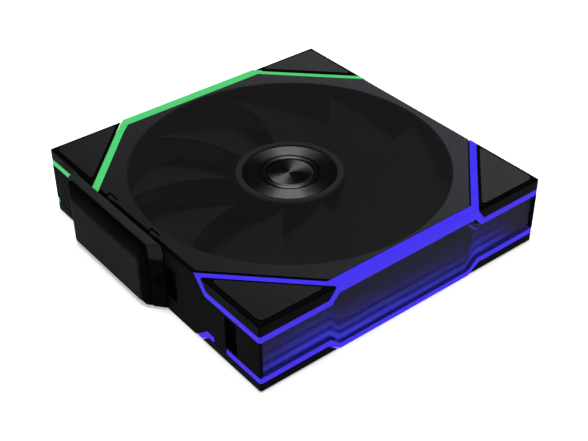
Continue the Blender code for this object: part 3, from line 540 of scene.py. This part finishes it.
def tunnel(tag, sy):
    # painted reflections: glowing graded plates stand in for the mirror's repeated reflections of the light lines
    mats = painted_reflection_palette(tag)
    box_lo, box_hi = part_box("mirror_panel_" + tag)
    half = max(abs(box_lo[0]), box_hi[0]) / MM
    y_in, y_out = sorted((abs(box_lo[1]) / MM, abs(box_hi[1]) / MM))
    z_lo, z_hi = box_lo[2] / MM - 0.68, box_hi[2] / MM + 0.3
    half += 0.4
    cor_lo, cor_hi = z_lo + 3.6, z_hi - 3.5
    step = 0.46
    low_n = int((cor_hi - cor_lo) / step)
    up_n = int((z_hi - z_lo - (cor_hi - cor_lo)) / step)

    def base(x):
        ax = abs(x)
        t = min(1.0, max(0.0, (ax - 28.4) / 4.0))
        return z_lo + (cor_lo - z_lo) * t

    def roof(x):
        ax = abs(x)
        t = min(1.0, max(0.0, (ax - 29.4) / 3.1))
        return z_hi + (cor_hi - z_hi) * t

    xs = [-half, -57.0, -54.5, -51.0, -47.0, -43.0, -39.0, -35.5, -32.6, -31.6, -30.5, -29.4, -28.4, -24, -16, -8, 0]
    xs += [-v for v in xs[-2::-1]]
    bm = bmesh.new()
    span = cor_hi - cor_lo
    cols = []
    for x in xs:
        b = base(x)
        zs = [b + span * j / low_n for j in range(low_n + 1)]
        if abs(x) < 32.0:
            t = roof(x)
            zs += [zs[-1] + (t - zs[low_n]) * (j + 1) / up_n for j in range(up_n)]
        cols.append([(x, z, z - b) for z in zs])
    grid = {}
    for side, yy in (("o", y_out), ("i", y_in)):
        for i, col in enumerate(cols):
            for j, (x, z, v) in enumerate(col):
                grid[side, i, j] = bm.verts.new((x, sy * yy, z))

    def level_index(x, v):
        b = tunnel_level(x, v)
        best = min(range(len(LEVELS)), key=lambda q: abs(math.log(LEVELS[q] / abs(b))))
        return best + (len(LEVELS) if b < 0 else 0)

    for i in range(len(cols) - 1):
        na, nb = len(cols[i]), len(cols[i + 1])
        common = min(na, nb)
        xm = (xs[i] + xs[i + 1]) / 2
        for j in range(common - 1):
            vm = (cols[i][j][2] + cols[i][j + 1][2]) / 2
            f = bm.faces.new([grid["o", a, c] for a, c in ((i, j), (i + 1, j), (i + 1, j + 1), (i, j + 1))])
            f.material_index = level_index(xm, vm)
        if na != nb:
            long_i, short_i = (i, i + 1) if na > nb else (i + 1, i)
            for j in range(common - 1, max(na, nb) - 1):
                f = bm.faces.new([grid["o", long_i, j], grid["o", short_i, common - 1], grid["o", long_i, j + 1]])
                f.material_index = level_index(xm, cols[long_i][j][2])
    # back face and rim close the plate
    loop = [(i, 0) for i in range(len(cols))]
    loop += [(len(cols) - 1, j) for j in range(1, len(cols[-1]))]
    for i in range(len(cols) - 1, 0, -1):
        a, b = len(cols[i]), len(cols[i - 1])
        if b > a:
            loop += [(i - 1, j) for j in range(b - 1, b)]
        else:
            loop += [(i - 1, b - 1)]
    loop += [(0, j) for j in range(len(cols[0]) - 2, 0, -1)]
    used = set(loop)
    for side_i in range(len(loop)):
        a, b = loop[side_i], loop[(side_i + 1) % len(loop)]
        bm.faces.new([grid["o", *a], grid["o", *b], grid["i", *b], grid["i", *a]])
    bm.faces.new([grid["i", *a] for a in loop])
    for (side, i, j), vert in list(grid.items()):
        if side == "i" and (i, j) not in used:
            bm.verts.remove(vert)
    ob = piece("painted_reflections_" + tag, bm, mats[0], "fan_body", 20.0)
    for m in mats[1:]:
        ob.data.materials.append(m)
    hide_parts("mirror_panel_" + tag)

    # dim sill between the tunnel and the window, on top of the lower light line, glowing in a painted reflection seam
    # colour
    win_out = max(abs(v[1]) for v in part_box("mirror_window_" + tag)) / MM
    path = [(-half, 5.62), (-33.0, 5.62), (-29.0, 2.02), (29.0, 2.02), (33.0, 5.62), (half, 5.62)]
    bm = bmesh.new()
    rows = []
    for x, z in path:
        rows.append([bm.verts.new((x, sy * yy, z + dz)) for yy, dz in ((y_out + 0.05, 0.02), (win_out - 0.02, 0.02), (win_out - 0.02, 0.24), (y_out + 0.05, 0.24))])
    for a, b in zip(rows, rows[1:]):
        for q in range(4):
            w = (q + 1) % 4
            bm.faces.new((a[q], a[w], b[w], b[q]))
    bm.faces.new(rows[0])
    bm.faces.new(rows[-1][::-1])
    piece("tunnel_sill_" + tag, bm, mats[len(LEVELS) + 5], "fan_body", 20.0)

    # short reflection of the stepped upper line near its right-hand corner
    bm = bmesh.new()
    pts = [(-sy * x, z) for x, z in ((28.0, 20.6), (32.2, 17.2), (32.7, 17.9), (28.4, 21.5))]
    lo = [bm.verts.new((x, sy * (y_out + 0.04), z)) for x, z in pts]
    hi = [bm.verts.new((x, sy * (y_out + 0.16), z)) for x, z in pts]
    bm.faces.new(lo)
    bm.faces.new(hi[::-1])
    for q in range(4):
        w = (q + 1) % 4
        bm.faces.new((lo[q], hi[q], hi[w], lo[w]))
    piece("tunnel_glint_" + tag, bm, mats[9], "fan_body", 20.0)
    return ob


tunnel("blue", -1)
tunnel("green", 1)


# ---------------------------------------------------------------- satin dark liner sheet inside the air duct, with a painted even glow
def liner_plastic():
    g = Graph("mat_liner")
    n = g.noise(40.0, 5.0)
    g.put("Base Color", g.ramp(n, [(0.25, (0.0030, 0.0030, 0.0030)), (0.75, (0.0040, 0.0040, 0.0040))]))
    g.put("Roughness", g.spread(g.noise(120.0, 5.0), 0.70, 0.84))
    g.put("Specular IOR Level", 0.01)
    # painted glow: a faint even emission lifts the duct liner
    g.put("Emission Color", (1.0, 1.0, 1.0))
    g.put("Emission Strength", 0.0092)
    g.bump(g.noise(2600.0, 2.0), 0.06, 0.00004)
    return g.mat


liner = [(56.95, 0.45), (54.7, 0.45), (54.7, 0.70), (56.70, 0.95), (56.70, 26.15), (56.95, 26.15)]
piece("duct_liner", ring_bm(liner, 120), liner_plastic(), "fan_body", 40.0)

# ---------------------------------------------------------------- stage, lights, camera
def floor_material(name, glow, level=0.875):
    g = Graph(name)
    g.put("Base Color", g.ramp(g.noise(6.0, 3.0), [(0.3, (level * 0.98,) * 3), (0.7, (level * 1.02,) * 3)]))
    g.put("Roughness", g.spread(g.noise(20.0), 0.80, 0.95))
    g.put("Specular IOR Level", 0.0)
    if glow:
        g.put("Emission Color", (1.0, 1.0, 1.0))
        g.put("Emission Strength", glow)
    return g.mat


def annulus(name, r0, r1, mat, n=96):
    bm = bmesh.new()
    outer_ring = [bm.verts.new((r1 * math.cos(2 * math.pi * q / n), r1 * math.sin(2 * math.pi * q / n), 0.0)) for q in range(n)]
    if r0 > 0:
        inner_ring = [bm.verts.new((r0 * math.cos(2 * math.pi * q / n), r0 * math.sin(2 * math.pi * q / n), 0.0)) for q in range(n)]
        for q in range(n):
            w = (q + 1) % n
            bm.faces.new((inner_ring[q], outer_ring[q], outer_ring[w], inner_ring[w]))
    else:
        bm.faces.new(outer_ring)
    me = bpy.data.meshes.new(name)
    bm.to_mesh(me)
    bm.free()
    me.materials.append(mat)
    ob = bpy.data.objects.new(name, me)
    ob.location = (0, 0, -0.0001)
    scene.collection.objects.link(ob)
    return ob


# pale light table; the near-black floor disc under the air duct is painted shadow
annulus("stage_floor", 0.060, 3.0, floor_material("stage_floor_lit", 0.5))
annulus("stage_floor_painted_shadow", 0.0, 0.060, floor_material("stage_floor_shade", 0.0088, 0.006))

world = bpy.data.worlds.new("studio")
world.use_nodes = True
world.node_tree.nodes["Background"].inputs["Color"].default_value = (0.95, 0.97, 1.0, 1.0)
world.node_tree.nodes["Background"].inputs["Strength"].default_value = 0.05
scene.world = world


def area(name, loc, target, sx, sy, power, colour=(1, 1, 1)):
    data = bpy.data.lights.new(name, "AREA")
    data.shape = "RECTANGLE"
    data.size, data.size_y = sx, sy
    data.energy = power
    data.color = colour
    ob = bpy.data.objects.new(name, data)
    d = Vector(target) - Vector(loc)
    ob.rotation_euler = d.to_track_quat("-Z", "Y").to_euler()
    ob.location = loc
    scene.collection.objects.link(ob)
    return ob


top = area("overhead", (0.0, 0.0, 1.5), (0, 0, 0), 0.95, 0.45, 24.0)
top.rotation_euler = (0.0, 0.0, -math.radians(38.62))
# narrow panel straight behind, picked up by the turned grooves of the hub disc
az = math.radians(38.62)
area("back_panel", (math.sin(az) * 0.85, math.cos(az) * 0.85, 1.15), (0, 0, 0.02), 0.36, 0.45, 2.5)

cam = bpy.data.cameras.new("camera")
cam.sensor_width = 36.0
cam.lens = 1131.437 / 588.0 * 36.0
cam.clip_start = 0.01
cam_ob = bpy.data.objects.new("camera", cam)
right = Vector((0.77938746, -0.6265286, -0.00413445))
up = Vector((0.37518856, 0.46142091, 0.80394296))
fwd = Vector((0.50178554, 0.62813426, -0.59469203))
pos = Vector((-0.206651, -0.260973, 0.247859))
cam_ob.matrix_world = Matrix((
    (right.x, up.x, -fwd.x, pos.x), (right.y, up.y, -fwd.y, pos.y), (right.z, up.z, -fwd.z, pos.z), (0, 0, 0, 1)))
scene.collection.objects.link(cam_ob)
scene.camera = cam_ob
